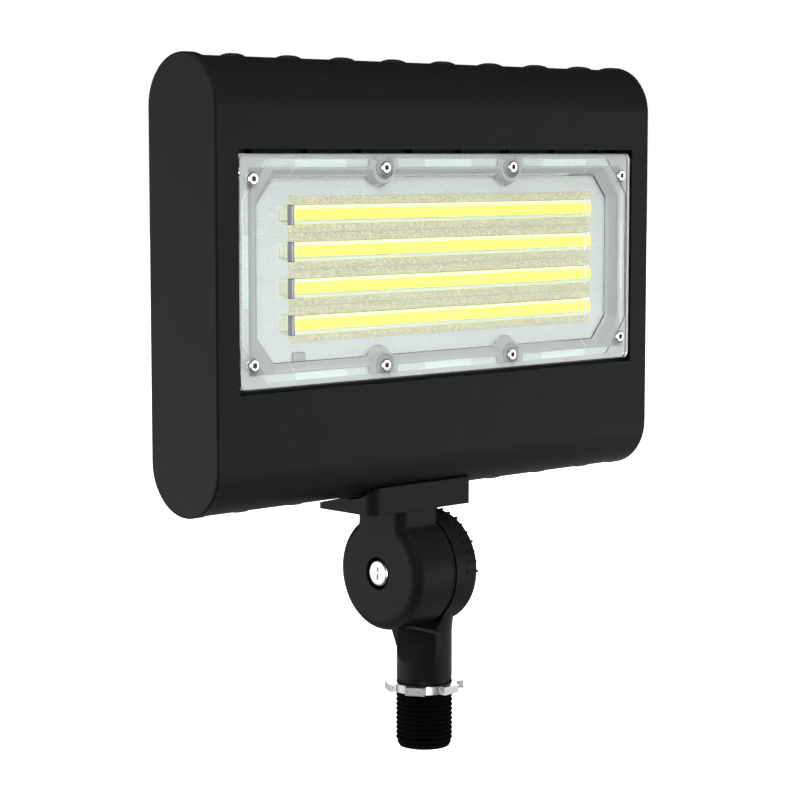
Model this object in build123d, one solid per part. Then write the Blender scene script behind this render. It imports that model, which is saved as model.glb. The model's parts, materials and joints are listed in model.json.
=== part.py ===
from build123d import *
import math
import os

os.makedirs("parts", exist_ok=True)

# An LED flood light on a swivel knuckle with a threaded conduit stem.
# Millimetres, +Z up, the lens faces -Y.
# The origin is on the thread's axis, level with the locknut's seating face.

# Conduit thread, 1/2 inch straight pipe thread
thread_radius = 10.67
thread_root_radius = 9.5
thread_pitch = 25.4 / 14
thread_crest = 0.35
thread_bottom = -21.7
thread_first_crest = -0.4
thread_ridges = 11

# Stem and lower half of the knuckle
stem_radius = 10.5
stem_bottom = 5.2
stem_bore_radius = 6.6
stem_bore_top = 13.0
wireway_radius = 4.1
wireway_x = 1.5
pivot_z = 46.95
disc_radius = 21.5
disc_fillet = 4.0
lower_left = -4.04
lower_right = 8.66
stem_chord = math.sqrt(stem_radius**2 - lower_left**2)
flare_bottom = 22.8
neck_top = 33.5
neck_half_width = 16.4
rib_foot = 12.0
rib_waist = 14.6
rib_reach = 16.4
rib_right = 4.5
front_rib_foot = 10.0
front_rib_flat = 17.0
front_rib_reach = 10.45
shoulder_foot_z = 11.5
shoulder_slope = 1.75

# Raised angle marks over the rim of the lower half
mark_count = 19
mark_step = 10.0
mark_height = 0.6
mark_half_width = 0.35
long_mark_x = (1.1, 6.6)
short_mark_x = (2.4, 6.0)

# Upper half of the knuckle, with the plate that carries the housing
split_gap = 1.9
upper_right = lower_left - split_gap
upper_left = -24.34
upper_neck_half_width = 12.2
upper_neck_top = 76.2
plate_bottom = 71.1
plate_left = -38.6
plate_right = 11.0
plate_front = -12.7
plate_back = 15.8
plate_back_top = 73.5
plate_seat_back = 3.0
pocket_outer = 13.8
hub_radius = 6.2
upper_pocket_floor = -16.3
lower_pocket_floor = 0.7
wire_channel_x = -12.8
wire_channel_radius = 4.2

# Two M5 screws hold the plate to the housing
base_screw_x = (-31.4, 4.2)
base_screw_y = 1.5
base_screw_radius = 2.5
base_screw_length = 12.0
base_head_radius = 4.6
base_head_top = 3.0
base_socket = 1.7

# Facing teeth and seal in the split
tooth_count = 36
tooth_height = 0.75
tooth_inner = 14.3
tooth_outer = 18.2
seal_inner = 18.6
seal_outer = 20.8

# Pivot bolt, M5, with its spring washer and nut
bolt_radius = 2.5
bolt_head_radius = 4.9
bolt_head_height = 3.4
bolt_slot_reach = 2.3
bolt_slot_half = 0.45
bolt_slot_depth = 1.4
counterbore_radius = 6.1
counterbore_floor = -19.74
washer_radius = 4.5
washer_thickness = 1.1
nut_across_flats = 8.0
nut_height = 4.0
nut_outer_face = 8.4

# Locknut with its captive sealing ring
locknut_bore = 10.75
locknut_root = 12.6
locknut_tip = 14.5
locknut_height = 3.0
locknut_lugs = 6
locknut_lug_angle = 30.0
locknut_turn = 31.3
ring_recess_radius = 11.9
ring_recess_depth = 0.75

# Housing: a slim box whose section is a stadium
head_x = -4.34
housing_width = 220.86
housing_depth = 36.48
housing_bottom = 77.08
housing_height = 158.77
housing_top = housing_bottom + housing_height
housing_radius = housing_depth / 2
housing_front = -housing_radius
shell_thickness = 2.6
shell_back = -6.8
end_plate = 4.0
end_edge = 0.8
window_z = 161.6
window_half_width = 100.55
window_half_height = 41.6

# Lens, LED board and the tray that holds them
lens_half_width = 99.7
lens_half_height = 40.15
lens_corner = 2.7
lens_front = -17.7
flange_thickness = 2.8
lens_back = -12.8
lens_floor_front = -14.1
step_depth = 0.35
screw_seat = 0.3
contour_corner = 2.6
step_contour = (97.6, 38.0, 11.0, 13.6)
well_contour = (93.9, 35.05, 8.9, 11.3)
floor_contour = (89.4, 31.75, 7.4, 9.0)
under_contour = (92.4, 34.2, 8.9, 11.3)
gasket_contour = (92.9, 34.6, 8.9, 11.3)
bar_half_length = 75.4
bar_height = 6.9
bar_front = -17.4
bar_pitch = 12.7
bar_count = 4
bar_edge = 0.5
corner_screw = (94.2, 31.6)
middle_screw = (32.6, 35.15)
lens_screw_radius = 1.25
lens_screw_length = 6.6
lens_head_radius = 2.3
lens_head_height = 1.25
gasket_thickness = 0.8
tray_half_width = 99.5
tray_half_height = 40.0
tray_front = lens_front + flange_thickness + gasket_thickness
board_front = -11.95
board_thickness = 1.6
pad_thickness = 0.5
wall_front = board_front + board_thickness + pad_thickness
wall_thickness = 3.2
wall_back = wall_front + wall_thickness
lip_top = 203.4
lip_bottom = 119.6
lip_thickness = 2.5
rib_front = -11.8
pocket_half_x = 91.0
pocket_half_z = 33.5
pocket_cut_x = 9.0
pocket_cut_z = 11.0
board_half_x = 90.7
board_half_z = 33.2
board_cut_x = 8.4
board_cut_z = 10.1
board_notch = 5.0

# LED packages
led_pitch = 4.22
led_count = 38
led_row_left = -78.0
led_size = 4.0
led_height = 0.65
terminal_left = -72.4
terminal_right = -66.6
terminal_low = -32.4
terminal_high = -28.9

# Fins and driver box on the back
fin_thickness = 2.0
fin_pitch = 25.25
fin_count = 8
fin_front = 5.0
fin_nose_front = -6.2
fin_nose_height = 7.0
rail_thickness = 3.0
rail_height = 9.0
rail_half_length = 104.0
rail_z = (100.6, 217.5)
frame_screw_x = (-75.75, -25.25, 25.25, 75.75)
frame_screw_radius = 1.6
frame_post_radius = 4.2
box_half_width = 64.1
box_half_height = 32.0
box_wall = 3.0
box_back = 14.5
cover_half_width = 66.5
cover_half_height = 34.5
cover_gasket_thickness = 1.0
cover_thickness = 2.4
cover_screw_x = (-57.0, 0.0, 57.0)
cover_screw_z = 25.0
cover_screw_radius = 1.6
cover_head_radius = 3.5
cover_post_radius = 4.0
cover_recess = 1.2
vent_place = (32.0, window_z - 20.0)
vent_radius = 3.0
mount_pad_back = 15.0
mount_pad_top = 93.0
duct_radius = 6.6
grommet_bore = 2.6
# Driver inside the box
driver_board_y = 2.0
driver_board_thickness = 1.6
driver_half_width = 50.0
driver_half_height = 19.0
driver_top = driver_board_y + driver_board_thickness
driver_screw_inset = 4.0
driver_screw_radius = 1.2
driver_post_radius = 3.0
ground_x = 56.0
ground_screw_radius = 1.9
can_places = ((-29, 8), (-29, -3), (32, 6))
can_radius = 4.5
can_half_length = 8.0
choke_place = (34.0, window_z - 9.0)
choke_radius = 7.0
choke_bore = 3.0
choke_height = 6.5
terminal_pitch = 4.8

# Leads from the driver to the LED board, in their slot and groove through the tray
lead_radius = 0.65
lead_bend = 1.4
lead_slot = (-41.4, -36.8, -28.2, -23.8)
lead_groove_box = (-73.0, -36.0, -32.6, -23.8)

# Screw sockets
star_core = 0.85
star_lobe = 0.33
star_reach = 0.9
cross_reach = 1.9
cross_half = 0.42
socket_half_depth = 0.9
socket_sink = 0.5


def block(x0, x1, y0, y1, z0, z1):
    return Pos((x0 + x1) / 2, (y0 + y1) / 2, (z0 + z1) / 2) * Box(abs(x1 - x0), abs(y1 - y0), abs(z1 - z0))


def rod_x(radius, x0, x1, y=0.0, z=0.0):
    return Pos((x0 + x1) / 2, y, z) * Rot(0, 90, 0) * Cylinder(radius, abs(x1 - x0))


def rod_y(radius, y0, y1, x=0.0, z=0.0):
    return Pos(x, (y0 + y1) / 2, z) * Rot(90, 0, 0) * Cylinder(radius, abs(y1 - y0))


def rod_z(radius, z0, z1, x=0.0, y=0.0):
    return Pos(x, y, (z0 + z1) / 2) * Cylinder(radius, abs(z1 - z0))


def stadium_bar(radius, x0, x1, z0, z1):
    # A bar along X whose section is a stadium standing on its round end.
    centre = (z0 + z1) / 2
    section = Plane.YZ.offset(x0) * Pos(0, centre) * Rot(0, 0, 90) * SlotOverall(z1 - z0, 2 * radius)
    return extrude(section, x1 - x0)


def prism_x(points, x0, x1):
    # A closed outline of (y, z) points carried along X.
    outline = Plane.YZ.offset(x0) * make_face(Polyline(*points, close=True))
    return extrude(outline, x1 - x0)


def prism_y(points, y0, y1):
    # A closed outline of (x, z) points carried along Y.
    wire = Polyline(*[(x, y0, z) for x, z in points], close=True)
    return extrude(make_face(wire), y1 - y0, dir=(0, 1, 0))


def on_head(solid):
    # The head is drawn about its own middle and sits beside the thread's axis.
    return Pos(head_x, 0, 0) * solid


def four_corners(x, z):
    # The four places at +-x and +-z about the window's middle.
    return [(sx * x, window_z + sz * z) for sx in (-1, 1) for sz in (-1, 1)]


def pan_screw_y(x, z, seat_y, head_radius, head_height, shank_radius, length, outward, recess):
    # A pan-head screw along Y: outward is -1 for a head facing the front and +1 for one facing the back.
    head = rod_y(head_radius, seat_y, seat_y + outward * head_height, x, z)
    rim = head.edges().filter_by(GeomType.CIRCLE).sort_by(Axis.Y)
    head = fillet(rim[0] if outward < 0 else rim[-1], head_height * 0.55)
    shank = rod_y(shank_radius, seat_y, seat_y - outward * length, x, z)
    tip = seat_y + outward * head_height
    return head + shank - Pos(0, tip - outward * socket_sink, 0) * recess(x, z)


def star_recess(x, z):
    # Six-lobe socket: a round core with six round lobes.
    deep = socket_half_depth
    core = rod_y(star_core, -deep, deep, x, z)
    for k in range(6):
        turn = math.radians(60 * k + 30)
        lobe_x = x + star_reach * math.cos(turn)
        lobe_z = z + star_reach * math.sin(turn)
        core += rod_y(star_lobe, -deep, deep, lobe_x, lobe_z)
    return core


def cross_recess(x, z):
    # Cross socket: two crossed slots.
    deep = socket_half_depth
    flat = block(x - cross_reach, x + cross_reach, -deep, deep, z - cross_half, z + cross_half)
    return flat + block(x - cross_half, x + cross_half, -deep, deep, z - cross_reach, z + cross_reach)


def face_teeth(face_x, toward):
    # Radial teeth standing on a knuckle half's inner face; toward is the sign of X that they point to.
    half = math.pi * tooth_inner / tooth_count * 0.8
    root = face_x - toward * 0.2
    tip = face_x + toward * tooth_height
    section = Polyline((root, -half, 0), (tip, 0, 0), (root, half, 0), close=True)
    tooth = extrude(make_face(section), tooth_outer - tooth_inner, dir=(0, 0, 1))
    teeth = []
    for k in range(tooth_count):
        turn = Pos(0, 0, pivot_z) * Rot(k * 360 / tooth_count, 0, 0)
        teeth.append(turn * Pos(0, 0, tooth_inner) * tooth)
    return teeth


def make_knuckle_stem():
    # Lower half: a disc on a tapering neck, a round stem and the hollow conduit thread.
    disc = rod_x(disc_radius, lower_left, lower_right, 0, pivot_z)
    rim = disc.edges().filter_by(GeomType.CIRCLE).sort_by(Axis.X)[-1]
    body = fillet(rim, disc_fillet)

    stem = rod_z(stem_radius, stem_bottom, flare_bottom)
    foot_x = -stem_radius - 2
    foot_z = shoulder_foot_z - shoulder_slope * 2
    shoulder_top = foot_z + shoulder_slope * (lower_left - foot_x)
    slope = [(foot_x, foot_z), (lower_left, shoulder_top), (lower_left, neck_top), (foot_x, neck_top)]
    body += stem - prism_y(slope, -20, 20)
    body += make_flare()

    back = [(0, rib_foot), (stem_chord, rib_foot), (rib_waist, flare_bottom), (rib_reach, neck_top)]
    rib = prism_x(back + [(0, neck_top)], lower_left, rib_right)
    outer = rib.edges().filter_by_position(Axis.X, rib_right - 0.01, rib_right + 0.01)
    outer = [e for e in outer if e.center().Y > stem_chord]
    outer = [e for e in outer if rib_foot + 1 < e.center().Z < neck_top - 0.1]
    body += fillet(outer, 3.0)
    front = [(0, front_rib_foot), (-stem_chord, front_rib_foot), (-front_rib_reach, front_rib_flat)]
    front += [(-front_rib_reach, flare_bottom + 2), (0, flare_bottom + 2)]
    body += prism_x(front, lower_left, -0.5)

    body += make_thread()
    body -= rod_z(stem_bore_radius, thread_bottom - 1, stem_bore_top)
    body -= rod_z(wireway_radius, stem_bore_top - 1, pivot_z - 10, wireway_x)
    ring = rod_x(pocket_outer, lower_left, lower_pocket_floor, 0, pivot_z)
    body -= ring - rod_x(hub_radius, lower_left, lower_pocket_floor, 0, pivot_z)
    body -= rod_x(bolt_radius + 0.1, lower_left - 1, lower_right + 1, 0, pivot_z)
    socket_depth = nut_height + 0.3
    socket_face = Plane.YZ.offset(nut_outer_face - socket_depth) * RegularPolygon(nut_circumradius(0.1), 6)
    body -= Pos(0, 0, pivot_z) * extrude(socket_face, socket_depth + 1)
    body += face_teeth(lower_left, -1)
    return body + dial_marks()


def make_flare():
    # The round stem widening to an oval under the disc, both cut flat on the split's side.
    foot = Circle(stem_radius) & Pos(lower_left + 50, 0) * Rectangle(100, 100)
    head = Ellipse(lower_right - lower_left, neck_half_width) & Pos(50, 0) * Rectangle(100, 100)
    return loft([Pos(0, 0, flare_bottom) * foot, Pos(lower_left, 0, neck_top) * head])


def nut_circumradius(clearance):
    return (nut_across_flats / 2 + clearance) / math.cos(math.pi / 6)


def make_thread():
    # Round ridges at the thread's pitch. The one behind the locknut runs out to the collar's radius.
    flank = (thread_pitch - thread_crest) / 2
    collar_bottom = thread_first_crest + 2 * thread_pitch - thread_crest
    points = [(0, 0, stem_bottom), (stem_radius, 0, stem_bottom), (stem_radius, 0, collar_bottom)]
    for n in range(-1, thread_ridges):
        top = thread_first_crest - n * thread_pitch
        radius = stem_radius if n < 0 else thread_radius
        points.append((thread_root_radius, 0, top + flank))
        points.append((radius, 0, top))
        points.append((radius, 0, top - thread_crest))
    lead_in = top - thread_crest - flank
    points.append((thread_root_radius, 0, lead_in))
    points.append((thread_radius - 0.45, 0, lead_in - flank))
    points.append((thread_radius - 0.6, 0, lead_in - flank - thread_crest))
    points.append((thread_root_radius, 0, thread_bottom))
    points.append((0, 0, thread_bottom))
    return revolve(make_face(Polyline(*points, close=True)), Axis.Z)


def dial_marks():
    # Raised marks over the top of the rim, every third one long.
    marks = []
    for k in range(mark_count):
        x0, x1 = short_mark_x if k % 3 else long_mark_x
        top = disc_radius + mark_height
        mark = block(x0, x1, -mark_half_width, mark_half_width, disc_radius - 2.2, top)
        marks.append(Pos(0, 0, pivot_z) * Rot(90 - mark_step * k, 0, 0) * mark)
    return marks


def make_knuckle_base():
    # Upper half: a disc under a short neck and the plate that the housing sits on.
    rise = upper_neck_top - pivot_z
    outline = Circle(disc_radius) + Pos(0, rise / 2) * Rectangle(2 * upper_neck_half_width, rise)
    waist = math.sqrt(disc_radius**2 - upper_neck_half_width**2)
    corners = [v for v in outline.vertices() if abs(v.Y - waist) < 0.01]
    outline = fillet(corners, 1.2)
    body = extrude(Plane.YZ.offset(upper_left) * outline, upper_right - upper_left)
    body = Pos(0, 0, pivot_z) * body
    left_edges = body.edges().filter_by_position(Axis.X, upper_left - 0.01, upper_left + 0.01)
    rim = [e for e in left_edges if e.center().Z < upper_neck_top - 0.01]
    body = fillet(rim, disc_fillet)

    saddle = housing_radius + gasket_thickness
    saddle_centre = housing_bottom + housing_radius

    def seat_z(y):
        return saddle_centre - math.sqrt(saddle**2 - y**2)

    front = (plate_left, plate_front, seat_z(plate_front))
    middle = (plate_left, -5, seat_z(-5))
    back = (plate_left, plate_seat_back, seat_z(plate_seat_back))
    arc = ThreePointArc(front, middle, back)
    rest = Polyline(
        back,
        (plate_left, plate_back, plate_back_top),
        (plate_left, plate_back, plate_bottom),
        (plate_left, plate_front, plate_bottom),
        front,
    )
    plate = extrude(make_face(arc + rest), plate_right - plate_left, dir=(1, 0, 0))
    uprights = plate.edges().filter_by(Axis.Z)
    front_left = uprights.sort_by(lambda e: e.center().X + e.center().Y)[0]
    plate = fillet(front_left, 4.0)
    body -= block(upper_left - 1, upper_right + 1, -20, 20, plate_bottom + 1, upper_neck_top + 1)
    body += plate

    ring = rod_x(pocket_outer, upper_pocket_floor, upper_right, 0, pivot_z)
    body -= ring - rod_x(hub_radius, upper_pocket_floor, upper_right, 0, pivot_z)
    body -= rod_x(bolt_radius + 0.08, upper_left, upper_right + 1, 0, pivot_z)
    body -= rod_x(counterbore_radius, upper_left - 1, counterbore_floor, 0, pivot_z)
    body -= rod_z(wire_channel_radius, pivot_z + 9, housing_bottom + 2, wire_channel_x)
    seat = plate_bottom + base_head_top
    for x in base_screw_x:
        body -= rod_z(base_screw_radius + 0.25, plate_bottom - 1, housing_bottom + 2, x, base_screw_y)
        body -= rod_z(base_head_radius + 0.5, plate_bottom - 1, seat, x, base_screw_y)
    return body + face_teeth(upper_right, 1)


def make_base_gasket():
    # Rubber pad rolled to the housing's round underside.
    centre = housing_bottom + housing_radius
    low = housing_bottom - 5
    inset = 0.4
    ring = rod_x(housing_radius + gasket_thickness, plate_left + inset, plate_right - inset, 0, centre)
    ring -= rod_x(housing_radius, plate_left, plate_right, 0, centre)
    band = ring & block(plate_left, plate_right, plate_front + inset, plate_seat_back, low, centre)
    band -= rod_z(wire_channel_radius + inset, low, centre, wire_channel_x)
    for x in base_screw_x:
        band -= rod_z(base_screw_radius + 0.5, low, centre, x, base_screw_y)
    return band


def make_base_screws():
    screws = []
    seat = plate_bottom + base_head_top
    for x in base_screw_x:
        head = rod_z(base_head_radius, plate_bottom + 0.1, seat, x, base_screw_y)
        head = fillet(head.edges().filter_by(GeomType.CIRCLE).sort_by(Axis.Z)[0], 1.2)
        shank = rod_z(base_screw_radius, seat, seat + base_screw_length, x, base_screw_y)
        socket = Pos(x, base_screw_y, plate_bottom) * extrude(RegularPolygon(base_socket, 6), base_socket)
        screws.append(head + shank - socket)
    return screws


def make_knuckle_seal():
    left = upper_right + 0.1
    ring = rod_x(seal_outer, left, lower_left, 0, pivot_z)
    return ring - rod_x(seal_inner, left, lower_left, 0, pivot_z)


def make_pivot_bolt():
    seat = counterbore_floor - washer_thickness
    face = seat - bolt_head_height
    head = rod_x(bolt_head_radius, face, seat, 0, pivot_z)
    head = fillet(head.edges().filter_by(GeomType.CIRCLE).sort_by(Axis.X)[0], 0.9)
    shank = rod_x(bolt_radius, seat, nut_outer_face - 0.2, 0, pivot_z)
    reach = bolt_slot_reach
    half = bolt_slot_half
    slot = block(face - 1, face + bolt_slot_depth, -reach, reach, pivot_z - half, pivot_z + half)
    slot += block(face - 1, face + bolt_slot_depth, -half, half, pivot_z - reach, pivot_z + reach)
    return head + shank - slot


def make_pivot_washer():
    # Split spring washer: a flat ring with one cut.
    seat = counterbore_floor - washer_thickness
    ring = rod_x(washer_radius, seat, counterbore_floor, 0, pivot_z)
    ring -= rod_x(bolt_radius + 0.1, seat - 1, counterbore_floor + 1, 0, pivot_z)
    return ring - block(seat - 1, counterbore_floor + 1, -0.4, 0.4, pivot_z, pivot_z + 6)


def make_pivot_nut():
    section = Plane.YZ.offset(nut_outer_face - nut_height) * RegularPolygon(nut_circumradius(0), 6)
    nut = Pos(0, 0, pivot_z) * extrude(section, nut_height)
    return nut - rod_x(bolt_radius, lower_left, lower_right + 1, 0, pivot_z)


def make_locknut():
    # Conduit locknut: a ring with square lugs, recessed underneath for its sealing ring.
    nut = rod_z(locknut_root, 0, locknut_height)
    half = math.radians(locknut_lug_angle / 2)
    lug_width = 2 * locknut_tip * math.sin(half)
    lug = block(locknut_root - 2, locknut_tip, -lug_width / 2, lug_width / 2, 0, locknut_height)
    for k in range(locknut_lugs):
        nut += Rot(0, 0, locknut_turn + k * 360 / locknut_lugs) * lug
    nut -= rod_z(locknut_bore, -1, locknut_height + 1)
    nut -= rod_z(ring_recess_radius, -1, ring_recess_depth)
    return nut


def make_locknut_ring():
    ring = rod_z(ring_recess_radius - 0.05, -0.2, ring_recess_depth - 0.05)
    return ring - rod_z(locknut_bore + 0.02, -1, 2)


def make_front_housing():
    # Smooth front shell between two full end plates.
    half = housing_width / 2
    body = stadium_bar(housing_radius, -half, half, housing_bottom, housing_top)
    ends = body.edges().filter_by_position(Axis.X, -half - 0.01, -half + 0.01)
    ends += body.edges().filter_by_position(Axis.X, half - 0.01, half + 0.01)
    body = fillet(ends, end_edge)
    inner = half - end_plate
    body -= stadium_bar(
        housing_radius - shell_thickness,
        -inner,
        inner,
        housing_bottom + shell_thickness,
        housing_top - shell_thickness,
    )
    body -= block(-inner, inner, shell_back, housing_radius + 1, housing_bottom - 1, housing_top + 1)
    body -= block(
        -window_half_width,
        window_half_width,
        housing_front - 1,
        housing_front + shell_thickness + 1,
        window_z - window_half_height,
        window_z + window_half_height,
    )
    for z in rail_z:
        for x in frame_screw_x:
            body += rod_y(frame_post_radius, housing_front + shell_thickness - 0.5, fin_front, x, z)
            body -= rod_y(frame_screw_radius, fin_front - 12, fin_front + 1, x, z)
    return body


def fin_outline():
    # Outline of one fin: full height at the back, with a nose over and under the shell's edges.
    tray_low = window_z - tray_half_height
    tray_high = window_z + tray_half_height
    fin = stadium_bar(housing_radius, 0, fin_thickness, housing_bottom, housing_top)
    far = housing_radius + 1
    keep = block(-1, 3, fin_front, far, housing_bottom - 1, housing_top + 1)
    keep += block(-1, 3, fin_nose_front, far, housing_top - fin_nose_height, housing_top + 1)
    keep += block(-1, 3, fin_nose_front, far, housing_bottom - 1, housing_bottom + fin_nose_height)
    keep += block(-1, 3, wall_back - 0.5, far, tray_low, tray_high)
    return fin & keep


def tray_pocket(y0, y1):
    # Pocket for the board, with room left for the screw bosses.
    far_x = pocket_half_x + 1
    far_z = pocket_half_z + 1
    cut_x = pocket_half_x - pocket_cut_x
    cut_z = pocket_half_z - pocket_cut_z
    low = window_z - pocket_half_z
    pocket = block(-pocket_half_x, pocket_half_x, y0, y1, low, low + 2 * pocket_half_z)
    for sx in (-1, 1):
        for sz in (-1, 1):
            corner = [
                (sx * far_x, window_z + sz * far_z),
                (sx * far_x, window_z + sz * cut_z),
                (sx * cut_x, window_z + sz * far_z),
            ]
            pocket -= prism_y(corner, y0 - 1, y1 + 1)
    for x, z in four_corners(*middle_screw):
        pocket -= rod_y(4.6, y0 - 1, y1 + 1, x, z)
    return pocket


def screw_places():
    return four_corners(*corner_screw) + four_corners(*middle_screw)


def cover_screw_places():
    # Each screw's place, with the side of the box that its post leans on.
    return [(x, window_z + sz * cover_screw_z, sz) for x in cover_screw_x for sz in (-1, 1)]


def driver_screw_places():
    return four_corners(driver_half_width - driver_screw_inset, driver_half_height - driver_screw_inset)


def make_heat_sink():
    # One casting: tray for the board and lens, fins, driver box, fixing rails, mounting pad and wire duct.
    low = window_z - tray_half_height
    high = window_z + tray_half_height
    body = block(-tray_half_width, tray_half_width, tray_front, wall_back, low, high)
    body -= tray_pocket(tray_front - 1, wall_front)
    body += block(-tray_half_width, tray_half_width, wall_front, wall_back, high - 0.5, lip_top)
    lip_back = tray_front + lip_thickness
    body += block(-tray_half_width, tray_half_width, tray_front, lip_back, lip_bottom, low + 0.5)
    for k in range(fin_count):
        x = (k - (fin_count - 1) / 2) * fin_pitch - fin_thickness / 2
        body += Pos(x, 0, 0) * fin_outline()
        body += block(x, x + fin_thickness, rib_front, wall_back, high - 0.5, lip_top)
    rail_back = fin_front + rail_thickness
    for z in rail_z:
        rail_low = z - rail_height / 2
        rail_high = z + rail_height / 2
        body += block(-rail_half_length, rail_half_length, fin_front, rail_back, rail_low, rail_high)
    box_low = window_z - box_half_height
    box_high = window_z + box_half_height
    body += block(-box_half_width, box_half_width, wall_back - 0.5, box_back, box_low, box_high)
    body -= block(
        -cover_half_width - 0.5,
        cover_half_width + 0.5,
        box_back,
        housing_radius + 1,
        window_z - cover_half_height - 0.5,
        window_z + cover_half_height + 0.5,
    )
    inner_x = box_half_width - box_wall
    inner_z = box_half_height - box_wall
    body -= block(-inner_x, inner_x, wall_back, box_back + 1, window_z - inner_z, window_z + inner_z)
    root = wall_back - 0.5
    for x, z, side in cover_screw_places():
        body += rod_y(cover_post_radius, root, box_back, x, z)
        body += block(x - 3, x + 3, root, box_back, z, z + side * 5)
        body -= rod_y(cover_screw_radius, box_back - 10, box_back + 1, x, z)
    for x, z in driver_screw_places():
        body += rod_y(driver_post_radius, root, driver_board_y, x, z)
        body -= rod_y(driver_screw_radius, driver_board_y - 6, driver_board_y + 1, x, z)

    pad_left = plate_left - head_x
    pad_right = plate_right - head_x
    pad = stadium_bar(housing_radius, pad_left, pad_right, housing_bottom, housing_top)
    pad &= block(-60, 60, fin_nose_front, mount_pad_back, housing_bottom - 1, mount_pad_top)
    body += pad
    duct_x = wire_channel_x - head_x
    body += rod_z(duct_radius, mount_pad_top - 1, box_low + 1, duct_x)
    body -= rod_z(wire_channel_radius, housing_bottom - 1, window_z - inner_z + 1, duct_x)
    for x in base_screw_x:
        body -= rod_z(base_screw_radius, housing_bottom - 1, housing_bottom + 13, x - head_x, base_screw_y)
    for x, z in screw_places():
        body -= rod_y(lens_screw_radius, tray_front - 1, wall_front + 1.5, x, z)
    for x in frame_screw_x:
        for z in rail_z:
            body -= rod_y(frame_screw_radius + 0.6, fin_front - 1, fin_front + rail_thickness + 1, x, z)
    body += rod_y(4.2, root, wall_back + 1, ground_x, window_z)
    body -= rod_y(ground_screw_radius, wall_back - 2, wall_back + 2, ground_x, window_z)
    body -= lead_groove(wall_front - 1, wall_front + 2.2)
    left, right, low, high = lead_slot
    return body - block(left, right, wall_front, wall_back + 0.5, window_z + low, window_z + high)


def lead_groove(y0, y1):
    # Channel behind the LED board for the two leads to its terminal.
    left, right, low, high = lead_groove_box
    return block(left, right, y0, y1, window_z + low, window_z + high)


def corner_cut(half_x, half_z, cut_x, cut_z):
    # Points of a rectangle with cut corners, about the window's middle.
    return [
        (-half_x, window_z - half_z + cut_z),
        (-half_x + cut_x, window_z - half_z),
        (half_x - cut_x, window_z - half_z),
        (half_x, window_z - half_z + cut_z),
        (half_x, window_z + half_z - cut_z),
        (half_x - cut_x, window_z + half_z),
        (-half_x + cut_x, window_z + half_z),
        (-half_x, window_z + half_z - cut_z),
    ]


def rounded_face(y, outline):
    # The same outline as a face at depth y, its corners rounded.
    face = make_face(Polyline(*corner_cut(*outline), close=True))
    face = fillet(face.vertices(), contour_corner)
    return Plane.XZ.offset(-y) * face


def dish(front_y, back_y, front_outline, back_outline):
    # A well that narrows towards the back.
    return loft([rounded_face(front_y, front_outline), rounded_face(back_y, back_outline)])


def middle_lobes(front_y, back_y, front_radius, back_radius):
    # Tapered round bosses that keep the dish clear of the middle screws.
    cone = Rot(90, 0, 0) * Cone(back_radius, front_radius, back_y - front_y)
    return [Pos(x, (front_y + back_y) / 2, z) * cone for x, z in four_corners(*middle_screw)]


def middle_posts(y0, y1, radius):
    return [rod_y(radius, y0, y1, x, z) for x, z in four_corners(*middle_screw)]


def make_lens():
    # Moulded cover: a screwed flange, a dished field and four raised bars over the LED rows.
    low = window_z - lens_half_height
    high = window_z + lens_half_height
    plate = block(-lens_half_width, lens_half_width, lens_front, lens_front + flange_thickness, low, high)
    body = fillet(plate.edges().filter_by(Axis.Y), lens_corner)
    skin = lens_back - lens_floor_front
    half_x, half_z, cut_x, cut_z = floor_contour
    below = dish(lens_front + 1.2, lens_back, under_contour, (half_x + 0.6, half_z + 0.6, cut_x, cut_z))
    for lobe in middle_lobes(lens_front + 1.2, lens_back, 4.3, 5.7):
        below -= lobe
    body += below
    hollow = dish(lens_front - 0.01, lens_floor_front, well_contour, floor_contour)
    for lobe in middle_lobes(lens_front - 0.02, lens_floor_front, 5.4, 7.0):
        hollow -= lobe
    body -= hollow
    step = extrude(rounded_face(lens_front + step_depth, step_contour), 2)
    for lobe in middle_posts(lens_front - 3, lens_front + step_depth, 4.2):
        step -= lobe
    body -= step
    root = lens_floor_front + skin / 2
    for k in range(bar_count):
        low = bar_z(k) - bar_height / 2
        bar = block(-bar_half_length, bar_half_length, bar_front, root, low, low + bar_height)
        front_edges = bar.edges().filter_by_position(Axis.Y, bar_front - 0.01, bar_front + 0.01)
        body += fillet(front_edges, bar_edge)
    for x, z in screw_places():
        body -= rod_y(lens_screw_radius + 0.45, lens_front - 1, lens_back + 1, x, z)
        body -= rod_y(lens_head_radius + 0.4, lens_front - 1, lens_front + screw_seat, x, z)
    return body


def bar_z(k):
    return window_z + (k - (bar_count - 1) / 2) * bar_pitch


def make_lens_gasket():
    # Silicone frame between the lens flange and the tray's rim.
    y0 = tray_front - gasket_thickness
    half_x = tray_half_width - 0.1
    half_z = tray_half_height - 0.1
    frame = block(-half_x, half_x, y0, tray_front, window_z - half_z, window_z + half_z)
    gap = tray_pocket(y0 - 1, tray_front + 1) + dish(y0 - 1, tray_front + 1, gasket_contour, gasket_contour)
    for lobe in middle_posts(y0 - 1.5, tray_front + 1.5, 4.2):
        gap -= lobe
    frame -= gap
    for x, z in screw_places():
        frame -= rod_y(lens_screw_radius + 0.45, y0 - 1, tray_front + 1, x, z)
    return frame


def make_lens_screws():
    seat = lens_front + screw_seat
    sizes = (lens_head_radius, lens_head_height, lens_screw_radius, lens_screw_length)
    return [pan_screw_y(x, z, seat, *sizes, -1, star_recess) for x, z in screw_places()]


def board_shape(y0, y1, margin):
    outline = corner_cut(board_half_x - margin, board_half_z - margin, board_cut_x, board_cut_z)
    board = prism_y(outline, y0, y1)
    for x, z in four_corners(*middle_screw):
        board -= rod_y(board_notch + margin, y0 - 1, y1 + 1, x, z)
    return board


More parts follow.
